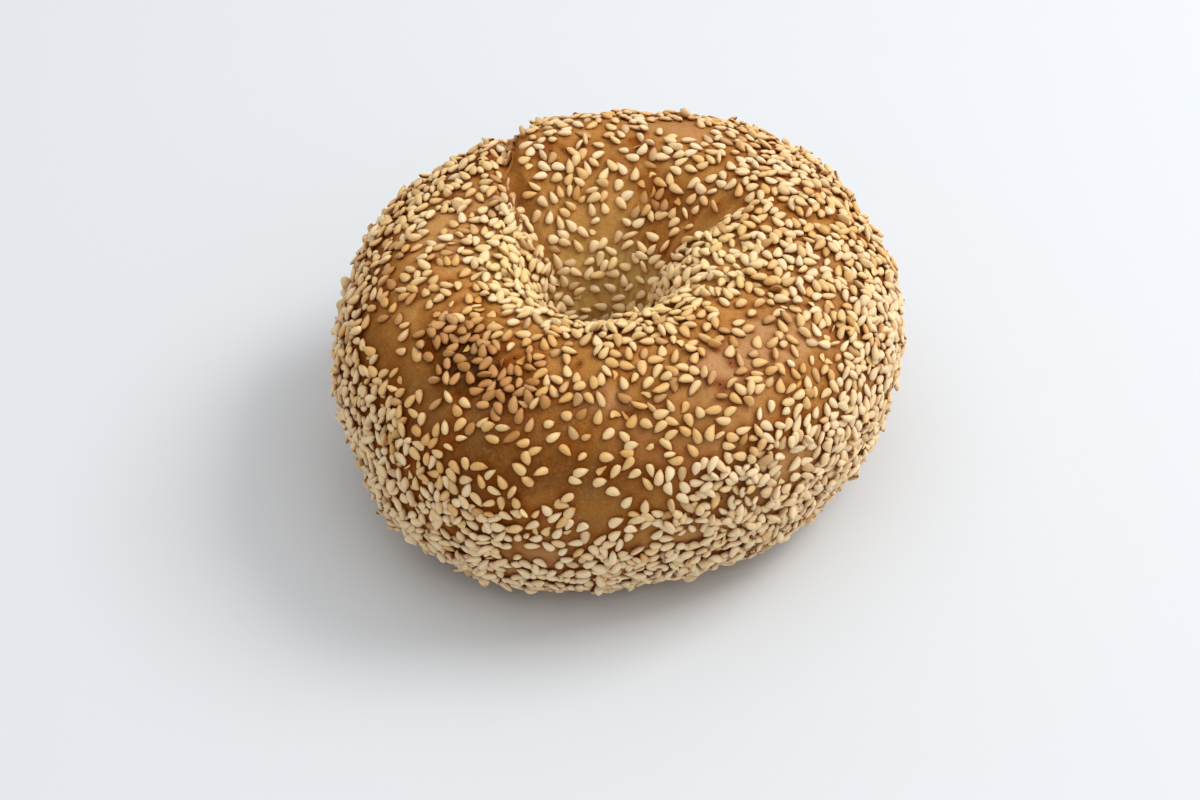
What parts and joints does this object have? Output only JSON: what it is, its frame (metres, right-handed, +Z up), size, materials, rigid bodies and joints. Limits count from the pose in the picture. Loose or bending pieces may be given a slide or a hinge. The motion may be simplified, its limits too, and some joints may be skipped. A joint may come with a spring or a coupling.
{
  "type": "sesame bagel",
  "caption": "Whole round bread roll with a hole through it: a boiled and baked ring with a seam, a browned crust and a thick uneven coat of sesame seeds.",
  "frame": {"origin": "middle of the outline seen from above, on the surface that the bagel stands on", "axes": "+Z up along the hole; +Y toward the back segment, whose long seam lies on its -X side; +X to the right seen from the front"},
  "size_m": [0.1084, 0.1062, 0.0527],
  "materials": {
    "crust": null
  },
  "bodies": {
    "root": {"bagel": "crust"}
  },
  "joints": []
}
